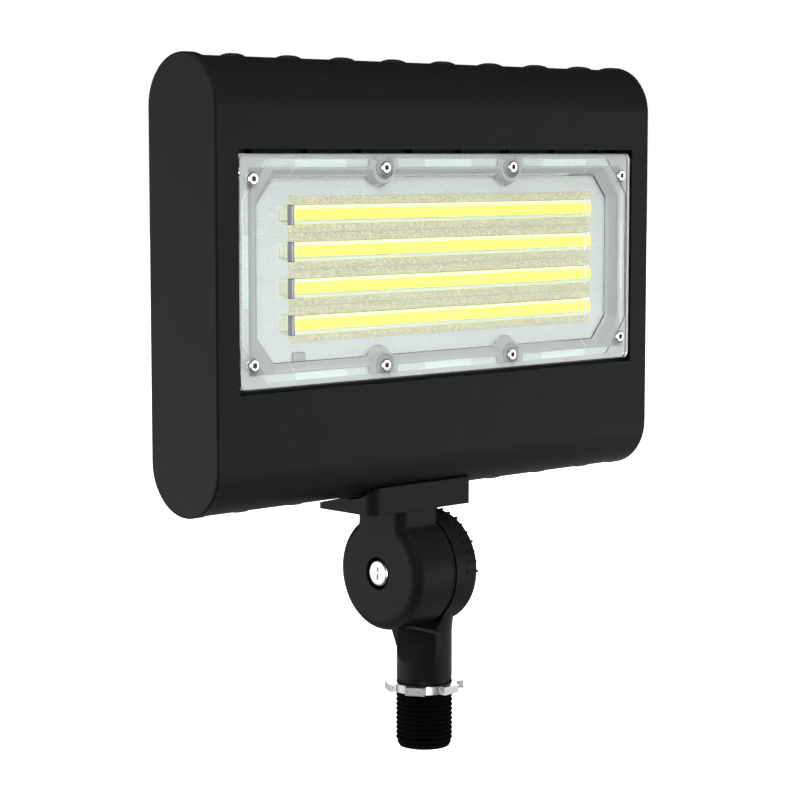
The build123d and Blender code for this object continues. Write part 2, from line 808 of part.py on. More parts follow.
def terminal_block(margin, y0, y1):
    low = window_z + terminal_low - margin
    high = window_z + terminal_high + margin
    return block(terminal_left - margin, terminal_right + margin, y0, y1, low, high)


def make_led_board():
    return board_shape(board_front, board_front + board_thickness, 0) - terminal_block(0.1, -20, 0)


def make_thermal_pad():
    y0 = board_front + board_thickness
    pad = board_shape(y0, wall_front, 0.5) - terminal_block(0.3, -20, 0)
    return pad - lead_groove(-20, 0)


def make_led_row(k):
    low = bar_z(k) - led_size / 2
    leds = []
    for n in range(led_count):
        x = led_row_left + n * led_pitch
        leds.append(block(x, x + led_size, board_front - led_height, board_front, low, low + led_size))
    return leds


def make_frame_screws():
    screws = []
    seat = fin_front + rail_thickness
    for x in frame_screw_x:
        for z in rail_z:
            screws.append(pan_screw_y(x, z, seat, 3.6, 2.4, frame_screw_radius, 13.0, 1, cross_recess))
    return screws


def make_cover_gasket():
    y1 = box_back + cover_gasket_thickness
    low = window_z - box_half_height
    high = window_z + box_half_height
    frame = block(-box_half_width, box_half_width, box_back, y1, low, high)
    inner_x = box_half_width - box_wall
    frame -= block(-inner_x, inner_x, box_back - 1, y1 + 1, low + box_wall, high - box_wall)
    for x, z, side in cover_screw_places():
        frame += rod_y(cover_post_radius, box_back, y1, x, z)
        frame += block(x - 3, x + 3, box_back, y1, z, z + side * 5)
        frame -= rod_y(cover_screw_radius + 0.2, box_back - 1, y1 + 1, x, z)
    return frame


def make_rear_cover():
    y0 = box_back + cover_gasket_thickness
    y1 = y0 + cover_thickness
    low = window_z - cover_half_height
    cover = block(-cover_half_width, cover_half_width, y0, y1, low, low + 2 * cover_half_height)
    cover = fillet(cover.edges().filter_by(Axis.Y), 4.0)
    back_edges = cover.edges().filter_by_position(Axis.Y, y1 - 0.01, y1 + 0.01)
    cover = fillet(back_edges, 0.8)
    for x, z, side in cover_screw_places():
        cover -= rod_y(cover_screw_radius + 0.5, y0 - 1, y1 + 1, x, z)
        cover -= rod_y(cover_head_radius + 0.4, y1 - cover_recess, y1 + 1, x, z)
    return cover - rod_y(vent_radius, y0 - 1, y1 + 1, *vent_place)


def make_breather_vent():
    # Snap-in pressure vent: a low round cap on a hollow barbed stalk.
    y0 = box_back + cover_gasket_thickness
    y1 = y0 + cover_thickness
    cap = rod_y(vent_radius + 2, y1, y1 + 0.34, *vent_place)
    stalk = rod_y(vent_radius - 0.05, y0 - 2.5, y1, *vent_place)
    return cap + stalk - rod_y(vent_radius - 1.2, y0 - 3, y1 - 0.6, *vent_place)


def make_cover_screws():
    seat = box_back + cover_gasket_thickness + cover_thickness - cover_recess
    sizes = (cover_head_radius, 1.5, cover_screw_radius, 9.0)
    return [pan_screw_y(x, z, seat, *sizes, 1, cross_recess) for x, z, side in cover_screw_places()]


def make_driver_board():
    low = window_z - driver_half_height
    high = window_z + driver_half_height
    board = block(-driver_half_width, driver_half_width, driver_board_y, driver_top, low, high)
    for x, z in driver_screw_places():
        board -= rod_y(driver_screw_radius + 0.2, 0, 6, x, z)
    return board


def make_driver_screws():
    sizes = (2.6, 1.8, driver_screw_radius, 5.5)
    return [pan_screw_y(x, z, driver_top, *sizes, 1, cross_recess) for x, z in driver_screw_places()]


def make_transformer():
    y0 = driver_top
    core = block(-8, 12, y0, y0 + 9.4, window_z - 9, window_z + 9)
    winding = block(-4, 8, y0 + 0.6, y0 + 9.9, window_z - 12, window_z + 12)
    return core + fillet(winding.edges().filter_by(Axis.Z), 2.0)


def make_capacitors():
    # Three can capacitors lying on the board.
    y = driver_top + can_radius + 0.1
    cans = []
    for x, z in can_places:
        can = rod_x(can_radius, x - can_half_length, x + can_half_length, y, window_z + z)
        cans.append(fillet(can.edges().filter_by(GeomType.CIRCLE), 0.8))
    return cans


def make_choke():
    # Ring core choke lying flat on the board.
    ring = rod_y(choke_radius, driver_top, driver_top + choke_height, *choke_place)
    ring -= rod_y(choke_bore, driver_top - 1, driver_top + choke_height + 1, *choke_place)
    return fillet(ring.edges().filter_by(GeomType.CIRCLE), 1.2)


def make_input_terminal():
    # Three-way push terminal for the supply wires.
    body = block(-15.5, -0.5, driver_top, driver_top + 8.5, window_z - 18.5, window_z - 12.6)
    for k in range(3):
        x = -12.8 + terminal_pitch * k
        body -= rod_z(1.3, window_z - 20, window_z - 14, x, driver_top + 4.5)
    return body


def make_ground_screw():
    sizes = (3.4, 2.2, ground_screw_radius, 2.8)
    return pan_screw_y(ground_x, window_z, wall_back + 1.0, *sizes, 1, cross_recess)


def make_duct_grommet():
    # Rubber sleeve where the wire duct enters the driver box.
    x = wire_channel_x - head_x
    top = window_z - box_half_height + box_wall
    sleeve = rod_z(wire_channel_radius, top - 6, top, x)
    sleeve += rod_z(wire_channel_radius + 1.2, top, top + 1.2, x)
    return sleeve - rod_z(grommet_bore, top - 7, top + 2, x)


def lead_routes():
    # Internal leads: off the driver board, through the tray's slot, along its groove to the terminal.
    y0 = driver_board_y
    y1 = wall_front + 1.0
    red = [(-38, y0, -17), (-38, -3.2, -17), (-38, -3.2, -25), (-38, y1, -25), (-62, y1, -25)]
    red += [(-64, y1, -29.9), (terminal_right, y1, -29.9)]
    black = [(-40.2, y0, -17), (-40.2, -1.2, -17), (-40.2, -1.2, -27), (-40.2, y1, -27), (-60, y1, -27)]
    black += [(-63, y1, -31.4), (terminal_right, y1, -31.4)]
    return [[(x, y, window_z + z) for x, y, z in route] for route in (red, black)]


def make_lead(route):
    path = FilletPolyline(*route, radius=lead_bend)
    profile = Plane(origin=route[0], z_dir=(0, -1, 0)) * Circle(lead_radius)
    lead = sweep(profile, path)
    ratio = lead.volume / (math.pi * lead_radius**2 * path.length)
    print("lead length", round(path.length, 1), "volume against section times length", round(ratio, 4))
    return lead


red_route, black_route = lead_routes()

stem_nodes = {
    "knuckle_stem": make_knuckle_stem(),
    "knuckle_seal": make_knuckle_seal(),
    "pivot_bolt": make_pivot_bolt(),
    "pivot_washer": make_pivot_washer(),
    "pivot_nut": make_pivot_nut(),
    "locknut": make_locknut(),
    "locknut_ring": make_locknut_ring(),
    "knuckle_base": make_knuckle_base(),
    "base_gasket": make_base_gasket(),
    "base_screws": make_base_screws(),
}

head_nodes = {
    "front_housing": make_front_housing(),
    "heat_sink": make_heat_sink(),
    "frame_screws": make_frame_screws(),
    "lens": make_lens(),
    "lens_gasket": make_lens_gasket(),
    "lens_screws": make_lens_screws(),
    "led_board": make_led_board(),
    "led_terminal": terminal_block(0, board_front - 0.7, wall_front + 1.8),
    "thermal_pad": make_thermal_pad(),
    "rear_cover": make_rear_cover(),
    "cover_gasket": make_cover_gasket(),
    "cover_screws": make_cover_screws(),
    "breather_vent": make_breather_vent(),
    "driver_board": make_driver_board(),
    "driver_screws": make_driver_screws(),
    "driver_transformer": make_transformer(),
    "driver_capacitors": make_capacitors(),
    "driver_choke": make_choke(),
    "input_terminal": make_input_terminal(),
    "ground_screw": make_ground_screw(),
    "duct_grommet": make_duct_grommet(),
    "led_lead_red": make_lead(red_route),
    "led_lead_black": make_lead(black_route),
}
for row in range(bar_count):
    head_nodes[f"led_row_{row + 1}"] = make_led_row(bar_count - 1 - row)


def as_one(shape):
    return Compound(children=shape) if isinstance(shape, list) else shape


for name, shape in stem_nodes.items():
    export_step(as_one(shape), f"parts/{name}.step")
for name, shape in head_nodes.items():
    export_step(on_head(as_one(shape)), f"parts/{name}.step")
print(len(stem_nodes) + len(head_nodes), "nodes written")
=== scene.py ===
import json
import math

import bpy
import numpy as np
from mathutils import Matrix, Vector


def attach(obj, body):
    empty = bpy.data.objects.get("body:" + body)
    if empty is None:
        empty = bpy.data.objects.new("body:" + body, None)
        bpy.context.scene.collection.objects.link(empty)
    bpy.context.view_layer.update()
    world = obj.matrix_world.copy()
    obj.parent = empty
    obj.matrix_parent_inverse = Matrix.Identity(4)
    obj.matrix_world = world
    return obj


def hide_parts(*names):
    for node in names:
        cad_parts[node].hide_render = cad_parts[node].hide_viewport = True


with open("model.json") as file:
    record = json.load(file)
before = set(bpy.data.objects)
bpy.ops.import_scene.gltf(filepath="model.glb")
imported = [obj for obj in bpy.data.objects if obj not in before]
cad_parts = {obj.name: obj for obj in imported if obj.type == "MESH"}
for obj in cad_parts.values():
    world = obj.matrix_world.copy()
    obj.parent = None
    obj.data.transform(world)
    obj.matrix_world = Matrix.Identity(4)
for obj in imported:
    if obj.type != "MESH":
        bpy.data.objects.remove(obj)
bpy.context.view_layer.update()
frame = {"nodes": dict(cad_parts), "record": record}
nodes = frame["nodes"]
scene = bpy.context.scene
mm = 0.001
print("frame loaded:", len(nodes), "CAD nodes")

# The middle of the window and the LED rows, as the CAD has them, in millimetres.
headX = -4.34
windowZ = 161.6
rowPitch = 12.7
rowCount = 4


def linear(code):
    # A #RRGGBB screen colour as the linear RGBA that shaders take.
    parts = [int(code[k:k + 2], 16) / 255 for k in (1, 3, 5)]
    return tuple(c / 12.92 if c <= 0.04045 else ((c + 0.055) / 1.055) ** 2.4 for c in parts) + (1.0,)


def addNode(tree, kind, inputs=None, **settings):
    # One shader node: settings are its properties, inputs give a socket a value or another node's output.
    node = tree.nodes.new("ShaderNode" + kind)
    for name, value in settings.items():
        setattr(node, name, value)
    for socket, value in (inputs or {}).items():
        if isinstance(value, bpy.types.NodeSocket):
            tree.links.new(value, node.inputs[socket])
        else:
            node.inputs[socket].default_value = value
    return node


def newMaterial(name):
    # An empty material with its output node, and its node tree.
    material = bpy.data.materials.new(name)
    material.use_nodes = True
    tree = material.node_tree
    tree.nodes.clear()
    return material, tree, tree.nodes.new("ShaderNodeOutputMaterial")


def finishMaterial(tree, output, shader, **sockets):
    # Sets the shader's constant sockets, as Coat_Weight for "Coat Weight", and links it to the output.
    for name, value in sockets.items():
        shader.inputs[name.replace("_", " ")].default_value = value
    tree.links.new(shader.outputs[0], output.inputs["Surface"])


def compute(tree, operation, *terms, clamp=False):
    # One arithmetic node on numbers or other nodes' outputs.
    return addNode(tree, "Math", dict(enumerate(terms)), operation=operation, use_clamp=clamp).outputs[0]


def both(tree, first, second):
    # Where both masks hold.
    return compute(tree, "MULTIPLY", first, second)


def remap(tree, value, source, target=(0.0, 1.0), smooth=False):
    # The source range laid onto the target range and held at its ends.
    return addNode(tree, "MapRange", {
        "Value": value,
        "From Min": source[0], "From Max": source[1],
        "To Min": target[0], "To Max": target[1],
    }, interpolation_type="SMOOTHSTEP" if smooth else "LINEAR").outputs[0]


def bandMask(tree, value, low, high, soft=0.05):
    # 1 where value lies between low and high, in millimetres, with soft sides.
    rise = remap(tree, value, (low - soft, low + soft))
    fall = remap(tree, value, (high - soft, high + soft), (1.0, 0.0))
    return both(tree, rise, fall)


def choose(tree, mask, under, over):
    # The number under where the mask is 0, over where it is 1.
    return addNode(tree, "Mix", {"Factor": mask, "A": under, "B": over}, data_type="FLOAT").outputs[0]


def tint(tree, under, over, mask):
    # One colour laid over another where the mask is 1. Each is a hex code or another node's output.
    mix = addNode(tree, "Mix", {"Factor": mask}, data_type="RGBA")
    for socket, colour in ((6, under), (7, over)):
        if isinstance(colour, str):
            mix.inputs[socket].default_value = linear(colour)
        else:
            tree.links.new(colour, mix.inputs[socket])
    return mix.outputs[2]


def noise(tree, place, scale, detail, **inputs):
    # A soft cloud between 0 and 1.
    cloud = addNode(tree, "TexNoise", {"Vector": place, "Scale": scale, "Detail": detail, **inputs})
    return cloud.outputs["Fac"]


def objectPlace(tree, middle=(0.0, 0.0, 0.0), scale=1.0):
    # Object coordinates in millimetres from the given middle, stretched by scale, and their three axes.
    place = addNode(tree, "TexCoord")
    moved = addNode(tree, "Mapping", {
        "Vector": place.outputs["Object"],
        "Location": tuple(-part for part in middle),
        "Scale": (scale / mm,) * 3,
    }).outputs[0]
    axes = addNode(tree, "SeparateXYZ", {0: moved})
    return moved, [axes.outputs[k] for k in range(3)]


def headPlace(tree):
    # The same, measured from the middle of the window.
    return objectPlace(tree, (headX, 0.0, windowZ))


def fromNearestRow(tree, z):
    # How far above or below the nearest LED row's middle, in millimetres.
    shifted = compute(tree, "ADD", z, rowPitch / 2)
    return compute(tree, "ABSOLUTE", compute(tree, "WRAP", shifted, rowPitch / 2, -rowPitch / 2))


def dress(names, material):
    # Puts one material on whole CAD nodes.
    for name in names:
        nodes[name].data.materials.clear()
        nodes[name].data.materials.append(material)


# The camera stands at the photograph's viewing angle. Places are in metres, angles in degrees.
cameraValues = {
    "azimuth": -43.712,
    "elevation": 5.943,
    "distance": 0.8680,
    "target": (-0.012715, 0.0, 0.110761),
    "lens": 105.26,
    "sensor": 36.0,
    "clip": (0.02, 60.0),
}


def makeCamera(values):
    azimuth = math.radians(values["azimuth"])
    elevation = math.radians(values["elevation"])
    back = Vector((
        math.sin(azimuth) * math.cos(elevation),
        -math.cos(azimuth) * math.cos(elevation),
        math.sin(elevation),
    ))
    data = bpy.data.cameras.new("camera")
    data.lens = values["lens"]
    data.sensor_width = values["sensor"]
    data.clip_start, data.clip_end = values["clip"]
    camera = bpy.data.objects.new("camera", data)
    scene.collection.objects.link(camera)
    camera.location = Vector(values["target"]) + back * values["distance"]
    camera.rotation_mode = "QUATERNION"
    camera.rotation_quaternion = (-back).to_track_quat("-Z", "Y")
    scene.camera = camera
    return back


viewBack = makeCamera(cameraValues)
print("camera placed")


# The studio: white paper, a grey room, three soft boxes and four cards. Levels are 1 for white, places in
# metres. A turn is the cosine of the angle to the camera's side of the room.
studioValues = {
    "floorZ": -0.16,
    "floorHalf": 8.0,
    "floorColour": "#F2F2F2",
    "glow": (0.42, 1.0),
    "glowRise": (0.35, 1.1),
    "behind": 0.12,
    "beside": 1.12,
    "front": 0.06,
    "frontTurn": (0.05, 0.85),
    "behindTurn": (-0.1, -0.4),
    "tilt": 0.12,
    "skyShare": 0.30,
    "skyRise": (-0.02, 0.2),
    "nearShare": 0.32,
    "nearReach": (0.35, 0.95),
    "rimGlow": 0.9,
    "rimTurn": (0.2, -0.4),
    "rimFade": (1.0, 1.8),
    "ambient": 0.62,
    "throughGlass": 0.28,
}
softBoxes = [
    # name, place, size, watts, aimed at, for the metal parts alone
    ("boxLeft", (-1.9, 0.3, 1.1), (1.2, 1.6), 17.0, (0.0, 0.0, 0.13), False),
    ("boxFront", (-0.9, -1.8, 1.4), (1.4, 1.2), 43.0, (0.0, 0.0, 0.13), False),
    ("boxTop", (0.0, -0.2, 1.9), (1.6, 1.2), 14.0, (0.0, 0.0, 0.13), False),
    ("cardBehind", (1.3, 1.4, 0.5), (1.6, 1.2), 34.0, (0.0, 0.0, 0.05), True),
    ("cardLeft", (-1.5, 1.5, 0.05), (1.4, 1.0), 11.0, (0.0, 0.0, 0.05), True),
    ("cardFront", (-0.95, -1.1, 0.12), (1.0, 0.5), 26.0, (0.0, 0.0, 0.0), True),
    ("cardRight", (1.5, -1.6, 0.1), (1.6, 1.2), 20.0, (0.0, 0.0, 0.16), True),
]


def towards(tree, direction, line):
    # The cosine of the angle between a direction and a level line.
    level = tuple(Vector((line[0], line[1], 0.0)).normalized())
    return addNode(tree, "VectorMath", {0: direction, 1: level}, operation="DOT_PRODUCT").outputs["Value"]


def roomLevel(tree, direction, values, back):
    # The grey room round the light: dark in front, white to the sides, dark again behind.
    ahead = towards(tree, direction, (back.x, back.y))
    aside = towards(tree, direction, (back.y, -back.x))
    near = remap(tree, ahead, values["frontTurn"], (values["beside"], values["front"]), True)
    far = remap(tree, ahead, values["behindTurn"], (0.0, values["behind"] - values["beside"]), True)
    lean = compute(tree, "MULTIPLY", aside, values["tilt"])
    return compute(tree, "ADD", compute(tree, "ADD", near, far), lean)


def makeFloor(values, back):
    # Paper that is white to the camera and through glass, keeps the object's soft shadow, and mirrors
    # the room in glossy paint.
    half = values["floorHalf"]
    z = values["floorZ"]
    corners = [(-half, -half, z), (half, -half, z), (half, half, z), (-half, half, z)]
    mesh = bpy.data.meshes.new("floor")
    mesh.from_pydata(corners, [], [(0, 1, 2, 3)])
    floor = bpy.data.objects.new("floor", mesh)
    scene.collection.objects.link(floor)
    material, tree, output = newMaterial("matt paper sweep")
    diffuse = addNode(tree, "BsdfDiffuse", {"Color": linear(values["floorColour"]), "Roughness": 0.5})
    place = addNode(tree, "TexCoord").outputs["Object"]
    away = addNode(tree, "VectorMath", {0: place}, operation="LENGTH").outputs["Value"]
    outward = addNode(tree, "VectorMath", {0: place}, operation="NORMALIZE").outputs["Vector"]
    rise = remap(tree, away, values["glowRise"], values["glow"], True)
    # Close to the object the mirrored room is dimmed: a painted shadow in what glossy paint reflects.
    close = remap(tree, away, values["nearReach"], (values["nearShare"], 1.0), True)
    room = both(tree, roomLevel(tree, outward, values, back), close)
    fade = remap(tree, away, values["rimFade"], (1.0, 0.0), True)
    rear = remap(tree, towards(tree, outward, (back.x, back.y)), values["rimTurn"])
    rim = compute(tree, "MULTIPLY", both(tree, both(tree, close, fade), rear), values["rimGlow"])
    room = compute(tree, "MAXIMUM", room, rim)
    rays = addNode(tree, "LightPath")
    throughGlass = rays.outputs["Is Transmission Ray"]
    seen = compute(tree, "MAXIMUM", rays.outputs["Is Camera Ray"], throughGlass)
    gloss = compute(tree, "SUBTRACT", rays.outputs["Is Glossy Ray"], throughGlass, clamp=True)
    light = addNode(tree, "Emission", {"Color": (1, 1, 1, 1), "Strength": both(tree, seen, rise)})
    glowing = addNode(tree, "AddShader", {0: diffuse.outputs[0], 1: light.outputs[0]})
    mirrored = addNode(tree, "Emission", {"Color": (1, 1, 1, 1), "Strength": room})
    paper = addNode(tree, "MixShader", {0: gloss, 1: glowing.outputs[0], 2: mirrored.outputs[0]})
    finishMaterial(tree, output, paper)
    mesh.materials.append(material)


def makeWorld(values, back):
    # White where the camera looks, and the grey room for every other ray.
    world = bpy.data.worlds.new("studio room")
    scene.world = world
    world.use_nodes = True
    tree = world.node_tree
    tree.nodes.clear()
    output = tree.nodes.new("ShaderNodeOutputWorld")
    place = addNode(tree, "TexCoord").outputs["Generated"]
    height = addNode(tree, "SeparateXYZ", {0: place}).outputs["Z"]
    sky = remap(tree, height, values["skyRise"], (1.0, values["skyShare"]), True)
    gloss = both(tree, roomLevel(tree, place, values, back), sky)
    rays = addNode(tree, "LightPath")
    level = choose(tree, rays.outputs["Is Glossy Ray"], values["ambient"], gloss)
    level = choose(tree, rays.outputs["Is Transmission Ray"], level, values["throughGlass"])
    level = choose(tree, rays.outputs["Is Camera Ray"], level, 1.0)
    shader = addNode(tree, "Background", {"Color": (1, 1, 1, 1), "Strength": level})
    finishMaterial(tree, output, shader)


def makeLights(boxes, metal):
    # Soft boxes light everything but don't show in gloss; white cards shine on the bright metal parts only.
    for name, place, size, watts, aim, forMetal in boxes:
        data = bpy.data.lights.new(name, "AREA")
        data.shape = "RECTANGLE"
        data.size, data.size_y = size
        data.energy = watts
        lamp = bpy.data.objects.new(name, data)
        scene.collection.objects.link(lamp)
        lamp.location = place
        lamp.visible_glossy = forMetal
        lamp.rotation_mode = "QUATERNION"
        lamp.rotation_quaternion = (Vector(aim) - Vector(place)).to_track_quat("-Z", "Y")
        if forMetal:
            lamp.light_linking.receiver_collection = metal


metalParts = bpy.data.collections.new("bright metal parts")
for part in frame["record"]["subparts"]:
    if part["material_slot"] == "zinc":
        metalParts.objects.link(nodes[part["node"]])
makeFloor(studioValues, viewBack)
makeWorld(studioValues, viewBack)
makeLights(softBoxes, metalParts)
scene.view_settings.view_transform = "Standard"
print("studio lit")


powderValues = {
    "colours": ("#0E0E0F", "#121213"),
    "roughness": (0.36, 0.46),
    "shine": 0.25,
    "peelScale": 0.9,
    "cloudScale": 0.08,
    "peelDepth": 0.012,
    "edge": 0.22,
}


def powderCoat(values):
    # Semi-gloss black polyester powder on die castings: faint orange peel, softened corners.
    material, tree, output = newMaterial("black powder coat")
    place, axes = objectPlace(tree, scale=values["peelScale"])
    cloud = noise(tree, place, values["cloudScale"], 3.0)
    edge = addNode(tree, "Bevel", {"Radius": values["edge"] * mm}, samples=4)
    bump = addNode(tree, "Bump", {
        "Height": noise(tree, place, 1.0, 2.0, Roughness=0.4),
        "Distance": values["peelDepth"] * mm,
        "Normal": edge.outputs[0],
    })
    shader = addNode(tree, "BsdfPrincipled", {
        "Base Color": tint(tree, *values["colours"], cloud),
        "Roughness": remap(tree, cloud, (0.0, 1.0), values["roughness"]),
        "Normal": bump.outputs[0],
    })
    finishMaterial(tree, output, shader, IOR=1.5, Specular_IOR_Level=values["shine"])
    return material


# Near-black zones in the powder coat. The dipped pipe thread is dull black under any lamp; the split
# between the knuckle's halves and the window's own side walls are painted shade. Each is a box of (low,
# high) limits in millimetres.
shadeAndThreadZones = {
    "knuckle_stem": [((-99, 99), (-99, 99), (-99, 3.4)), ((-6.0, -4.0), (-99, 99), (24, 99))],
    "knuckle_base": [((-5.98, -4.0), (-99, 99), (0, 70))],
    "front_housing": [((-104.95, 96.25), (-18.05, 0), (119.95, 203.25))],
}
shadeAndThreadValues = {"colour": "#030303", "roughness": 0.85, "soft": 0.02}


def shaderOf(material):
    # A material's main shader node.
    return next(node for node in material.node_tree.nodes if node.type == "BSDF_PRINCIPLED")


def powderWithShadeAndThread(material, name, zones, values):
    # The powder coat with near-black laid into the given boxes: painted shade, and the thread's dark
    # finish.
    paint = material.copy()
    paint.name = "black powder coat with dull " + name
    tree = paint.node_tree
    shader = shaderOf(paint)
    place, axes = objectPlace(tree)
    mask = 0.0
    for box in zones:
        x, y, z = (bandMask(tree, axes[k], *box[k], values["soft"]) for k in range(3))
        mask = compute(tree, "MAXIMUM", mask, both(tree, both(tree, x, y), z))
    plain = shader.inputs["Base Color"].links[0].from_socket
    tree.links.new(tint(tree, plain, values["colour"], mask), shader.inputs["Base Color"])
    rough = shader.inputs["Roughness"].links[0].from_socket
    tree.links.new(choose(tree, mask, rough, values["roughness"]), shader.inputs["Roughness"])
    return paint


zincValues = {
    "colours": ("#E6E7E8", "#C9CACC"),
    "roughness": (0.22, 0.36),
    "cloudScale": 1.4,
    "grainScale": 9.0,
    "grainDepth": 0.02,
}


def zincPlate(name, values):
    # Bright zinc plating over steel: pale grey metal with a faint grain and cloudy sheen.
    material, tree, output = newMaterial(name)
    place, axes = objectPlace(tree)
    cloud = noise(tree, place, values["cloudScale"], 4.0)
    grain = noise(tree, place, values["grainScale"], 2.0)
    bump = addNode(tree, "Bump", {"Height": grain, "Distance": values["grainDepth"] * mm})
    shader = addNode(tree, "BsdfPrincipled", {
        "Base Color": tint(tree, *values["colours"], cloud),
        "Roughness": remap(tree, cloud, (0.0, 1.0), values["roughness"]),
        "Normal": bump.outputs[0],
    })
    finishMaterial(tree, output, shader, Metallic=1.0)
    return material


# Where the lens screws stand either side of the window's middle, their sockets' reach, and the painted
# shade laid in the sockets.
socketShadeValues = {
    "places": ((94.2, 31.6), (32.6, 35.15)),
    "radius": 1.35,
    "top": -18.5,
    "colour": "#6A6460",
}


def zincWithPaintedSocketShade(values, socket):
    # Zinc-plated screws with painted shade in their six-lobe sockets.
    material = zincPlate("zinc plate with painted socket shade", values)
    tree = material.node_tree
    shader = shaderOf(material)
    place, (x, y, z) = headPlace(tree)
    flat = addNode(tree, "CombineXYZ", {0: compute(tree, "ABSOLUTE", x), 1: compute(tree, "ABSOLUTE", z)})
    away = [
        addNode(tree, "VectorMath", {0: flat.outputs[0], 1: (*spot, 0.0)}, operation="DISTANCE")
        for spot in socket["places"]
    ]
    nearest = compute(tree, "MINIMUM", *(spot.outputs["Value"] for spot in away))
    inside = bandMask(tree, nearest, -1.0, socket["radius"])
    deep = bandMask(tree, y, socket["top"], 0.0)
    plate = shader.inputs["Base Color"].links[0].from_socket
    # Painted shade: the sockets get a darker colour.
    colour = tint(tree, plate, socket["colour"], both(tree, inside, deep))
    tree.links.new(colour, shader.inputs["Base Color"])
    return material


lensValues = {
    "colour": "#F6F8F8",
    "roughness": 0.07,
    "stippleScale": 1.6,
    "stippleDepth": 0.02,
    # the raised bars' end walls: colours (the right ends painted paler as lit, and a painted highlight
    # line), where that line runs, and how far from the middle they stand
    "frost": "#A2A4B2",
    "frostRightPaintedLight": "#DDE0EA",
    "frostPaintedHighlight": "#F4F8FA",
    "frostShare": 0.6,
    "barEnd": (75.1, 75.7),
    "barHalf": 3.2,
    "barY": (-20.0, -14.2),
    "lineY": (-16.9, -16.4),
    # the sloped wall, painted pale grey as light showing through it: its depth and outline, the lobes round
    # the middle screws, and the bars left out of it
    "wall": "#A6AAA9",
    "wallShare": 0.72,
    "wallY": (-17.6, -14.35),
    "wallReach": (94.7, 35.3),
    "lobeAcross": (26.0, 39.5),
    "lobeHeight": 3.0,
    "barField": (78.0, 24.0),
}


def lensPolycarbonate(values):
    # Clear moulded polycarbonate with a fine stipple. Lamp light passes straight through to the board.
    material, tree, output = newMaterial("clear moulded polycarbonate")
    place, (x, y, z) = headPlace(tree)
    stipple = addNode(tree, "TexVoronoi", {
        "Vector": place,
        "Scale": values["stippleScale"],
    }, feature="SMOOTH_F1")
    bump = addNode(tree, "Bump", {
        "Height": stipple.outputs["Distance"],
        "Distance": values["stippleDepth"] * mm,
    })
    shader = addNode(tree, "BsdfPrincipled", {
        "Base Color": linear(values["colour"]),
        "Roughness": values["roughness"],
        "Normal": bump.outputs[0],
    })
    shader.inputs["IOR"].default_value = 1.585
    shader.inputs["Transmission Weight"].default_value = 1.0
    # The raised bars' end walls keep the mould's matt finish; the right ends are painted paler as lit, and
    # the left ends carry a painted highlight line.
    across = compute(tree, "ABSOLUTE", x)
    ends = both(tree, bandMask(tree, across, *values["barEnd"]), bandMask(tree, y, *values["barY"]))
    ends = both(tree, ends, bandMask(tree, fromNearestRow(tree, z), -1.0, values["barHalf"]))
    frost = tint(tree, values["frost"], values["frostPaintedHighlight"], bandMask(tree, y, *values["lineY"]))
    frost = tint(tree, frost, values["frostRightPaintedLight"], bandMask(tree, x, 0.0, 100.0))
    matt = addNode(tree, "BsdfDiffuse", {"Color": frost, "Roughness": 0.5})
    share = compute(tree, "MULTIPLY", ends, values["frostShare"])
    moulded = addNode(tree, "MixShader", {0: share, 1: shader.outputs[0], 2: matt.outputs[0]})
    # The sloped wall that leads down from the flange to the lit field gets a pale grey diffuse too: painted
    # light standing in for what shows through the clear wall.
    lobe = bandMask(tree, across, *values["lobeAcross"], 0.3)
    tall = compute(tree, "MULTIPLY_ADD", lobe, -values["lobeHeight"], compute(tree, "ABSOLUTE", z))
    bars, outline = (
        both(tree, bandMask(tree, across, -1.0, halfX), bandMask(tree, tall, -5.0, halfZ))
        for halfX, halfZ in (values["barField"], values["wallReach"])
    )
    slope = both(tree, bandMask(tree, y, *values["wallY"]), outline)
    slope = compute(tree, "SUBTRACT", slope, bars, clamp=True)
    share = compute(tree, "MULTIPLY", slope, values["wallShare"])
    wall = addNode(tree, "BsdfDiffuse", {"Color": linear(values["wall"]), "Roughness": 0.5})
    moulded = addNode(tree, "MixShader", {0: share, 1: moulded.outputs[0], 2: wall.outputs[0]})
    rays = addNode(tree, "LightPath")
    through = addNode(tree, "BsdfTransparent", {"Color": linear(values["colour"])})
    lit = addNode(tree, "MixShader", {
        0: rays.outputs["Is Shadow Ray"], 1: moulded.outputs[0], 2: through.outputs[0],
    })
    finishMaterial(tree, output, lit)
    return material


def plainPlastic(name, dark, pale, roughness, grain, depth, shine=0.5):
    # A moulded finish: two close tones in a fine cloud, with a grain of the given size in millimetres.
    material, tree, output = newMaterial(name)
    place, axes = objectPlace(tree)
    colour = tint(tree, dark, pale, noise(tree, place, 0.35 / grain, 3.0))
    bump = addNode(tree, "Bump", {"Height": noise(tree, place, 1.0 / grain, 2.0), "Distance": depth * mm})
    shader = addNode(tree, "BsdfPrincipled", {"Base Color": colour, "Normal": bump.outputs[0]})
    finishMaterial(tree, output, shader, Roughness=roughness, IOR=1.5, Specular_IOR_Level=shine)
    return material


# Colours of the board, the bands beside the LED rows by their distance from a row's middle, where the
# bands begin and end, speckles per millimetre, and the traces' relief.
boardValues = {
    "mask": "#BEC2BF",
    "trace": "#B3B7B4",
    "bar": "#D6DED4",
    "barEnd": "#C6CCB2",
    "chips": ("#A29C88", "#BAB793", "#D5D3B2"),
    "line": "#A4A695",
    "rowHalf": 3.25,
    "lineFrom": 6.15,
    "past": 7.3,
    "bands": (-73.8, 82.5),
    "padsLeft": -78.3,
    "speckle": 2.6,
    "cloudScale": 0.9,
    "relief": 0.02,
}


